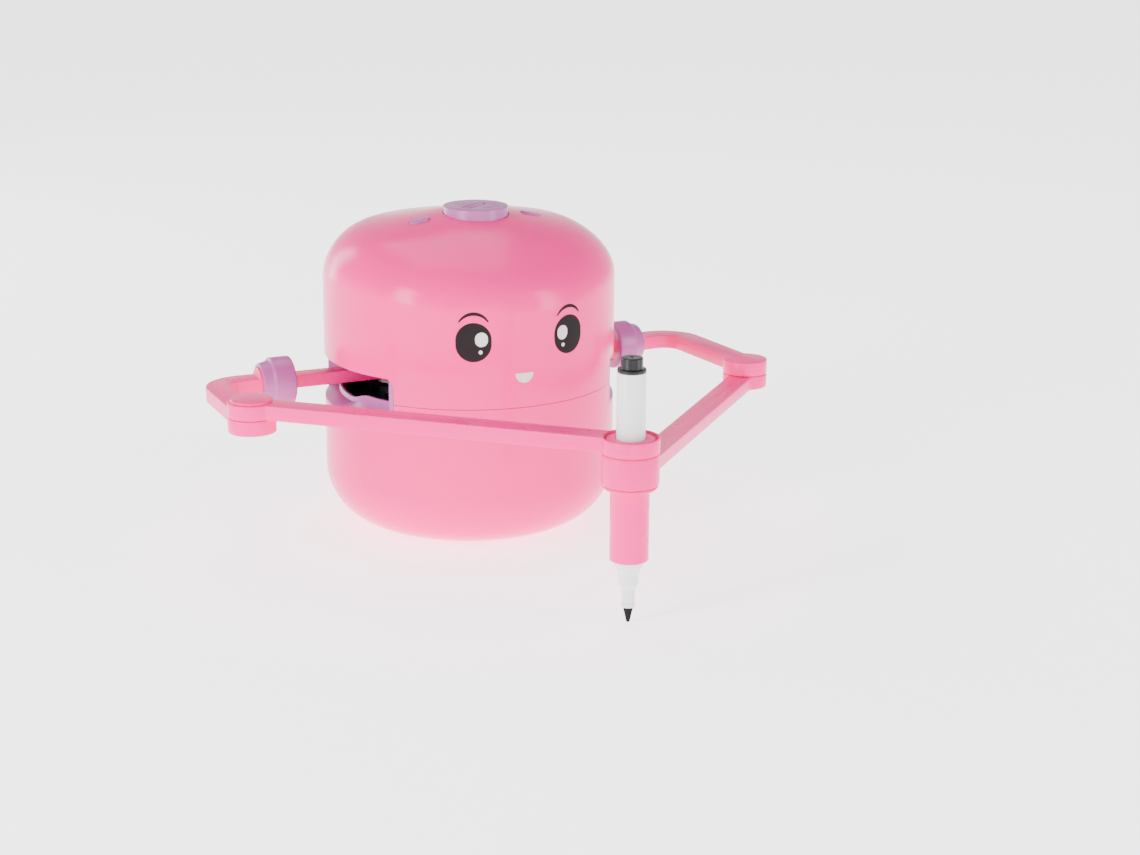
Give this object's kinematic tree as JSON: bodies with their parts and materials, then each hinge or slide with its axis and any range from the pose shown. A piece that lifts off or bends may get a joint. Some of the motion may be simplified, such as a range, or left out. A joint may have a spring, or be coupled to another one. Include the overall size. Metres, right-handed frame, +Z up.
{
  "type": "desktop drawing robot arm",
  "caption": "Round desktop robot with a face and a pair of five-bar arms that carry, lift and steer an upright felt pen.",
  "frame": {"origin": "on the table, under the body's vertical axis, at the middle of the foot pad's flat underside", "axes": "+Z up, the face looks along -Y, +X is the side of the robot's left hand, at the right when its face is seen"},
  "size_m": [0.2752, 0.2473, 0.1564],
  "materials": {
    "pink_shell": "glossy",
    "pink_arm": "satin",
    "purple_trim": "satin",
    "black_print": "glossy",
    "white_print": "satin",
    "icon_line": "matt",
    "rubber_pad": "matt",
    "steel": "brushed",
    "frame_plastic": "matt",
    "motor_case": "satin",
    "board": "satin",
    "cell": "glossy",
    "white_plastic": "satin",
    "pen_white": "satin",
    "pen_black": "satin",
    "nib_felt": "matt"
  },
  "bodies": {
    "body": {"lower_shell": "pink_shell", "upper_shell": "pink_shell", "bottom_cover": "pink_shell", "foot_pad": "rubber_pad", "cover_screws": "steel", "shell_screws": "steel", "bezel_left": "purple_trim", "bezel_right": "purple_trim", "eye_left": "black_print", "eye_right": "black_print", "eye_glints": "white_print", "brows": "black_print", "mouth": "white_print", "button_board": "board", "speaker": "frame_plastic", "battery": "cell", "control_board": "board", "charge_port": "steel", "switch_case": "steel", "chassis": "frame_plastic", "lift_motor": "motor_case"},
    "main_button": {"main_button": "purple_trim", "button_icon": "icon_line"},
    "small_button_left": {"small_button_left": "purple_trim"},
    "small_button_right": {"small_button_right": "purple_trim"},
    "switch_slider": {"switch_slider": "frame_plastic"},
    "cradle": {"cradle": "frame_plastic", "cradle_pins": "steel", "servo_left": "motor_case", "servo_right": "motor_case"},
    "lift_cam": {"lift_cam": "white_plastic"},
    "arm_left": {"horn_left": "white_plastic", "inner_arm_left": "pink_arm", "outer_arm_left": "pink_arm", "elbow_pin_left": "steel"},
    "arm_right": {"horn_right": "white_plastic", "inner_arm_right": "pink_arm", "outer_arm_right": "pink_arm", "elbow_pin_right": "steel"},
    "collar_left": {"collar_left": "purple_trim"},
    "collar_right": {"collar_right": "purple_trim"},
    "forearm_left": {"forearm_left": "pink_arm", "elbow_cap": "pink_arm"},
    "forearm_right": {"forearm_right": "pink_arm"},
    "pen_holder": {"pen_sleeve": "pink_arm", "sleeve_cap": "pink_arm"},
    "pen": {"pen_barrel": "pen_white", "pen_nose": "pen_white", "pen_nib": "nib_felt", "pen_plug": "pen_black"}
  },
  "joints": [
    {"name": "arm_lift", "type": "hinge", "parent": "body", "child": "cradle", "pos_m": [0, 0.045, 0.058], "axis": [-1, 0, 0], "range_deg": [0, 1.6]},
    {"name": "cam_turn", "type": "hinge", "parent": "body", "child": "lift_cam", "pos_m": [0.0121, -0.026, 0.0475], "axis": [1, 0, 0], "range_deg": [0, 100]},
    {"name": "shoulder_left", "type": "hinge", "parent": "cradle", "child": "arm_left", "pos_m": [-0.034, 0.017, 0.0733], "axis": [0, 0, 1], "range_deg": [-12, 12]},
    {"name": "shoulder_right", "type": "hinge", "parent": "cradle", "child": "arm_right", "pos_m": [0.034, 0.017, 0.0733], "axis": [0, 0, 1], "range_deg": [-9.6, 9.6]},
    {"name": "elbow_left", "type": "hinge", "parent": "arm_left", "child": "forearm_left", "pos_m": [-0.12303, -0.05056, 0.0733], "axis": [0, 0, 1], "range_deg": [-4.86, 4.86]},
    {"name": "elbow_right", "type": "hinge", "parent": "arm_right", "child": "forearm_right", "pos_m": [0.1306, -0.03921, 0.0733], "axis": [0, 0, 1], "range_deg": [-0.95, 0.95]},
    {"name": "pen_swivel", "type": "hinge", "parent": "forearm_right", "child": "pen_holder", "pos_m": [0.00915, -0.16479, 0.0733], "axis": [0, 0, 1], "range_deg": [-90, 90]},
    {"name": "pen_slide", "type": "slide", "parent": "pen_holder", "child": "pen", "axis": [0, 0, 1], "range_m": [0, 0.03]},
    {"name": "collar_turn_left", "type": "hinge", "parent": "arm_left", "child": "collar_left", "pos_m": [-0.09199, 0.01599, 0.07325], "axis": [-0.9998, -0.0175, 0], "range_deg": [0, 45]},
    {"name": "collar_turn_right", "type": "hinge", "parent": "arm_right", "child": "collar_right", "pos_m": [0.09168, 0.02306, 0.07325], "axis": [0.9945, 0.1045, 0], "range_deg": [0, 45]},
    {"name": "main_button_press", "type": "slide", "parent": "body", "child": "main_button", "axis": [0, 0, -1], "range_m": [0, 0.0012], "stiffness_N_per_m": 400, "springref_m": -0.001},
    {"name": "small_button_left_press", "type": "slide", "parent": "body", "child": "small_button_left", "axis": [0.225, 0, -0.9744], "range_m": [0, 0.0008], "stiffness_N_per_m": 300, "springref_m": -0.0008},
    {"name": "small_button_right_press", "type": "slide", "parent": "body", "child": "small_button_right", "axis": [-0.225, 0, -0.9744], "range_m": [0, 0.0008], "stiffness_N_per_m": 300, "springref_m": -0.0008},
    {"name": "power_switch", "type": "slide", "parent": "body", "child": "switch_slider", "axis": [1, 0, 0], "range_m": [0, 0.003]}
  ],
  "couplings": [
    {"joint": "cam_turn", "follows": "arm_lift", "ratio": 62.5},
    {"joint": "shoulder_right", "follows": "shoulder_left", "ratio": 0.8},
    {"joint": "elbow_left", "follows": "shoulder_left", "ratio": -0.4041},
    {"joint": "elbow_right", "follows": "shoulder_left", "ratio": -0.0781}
  ]
}
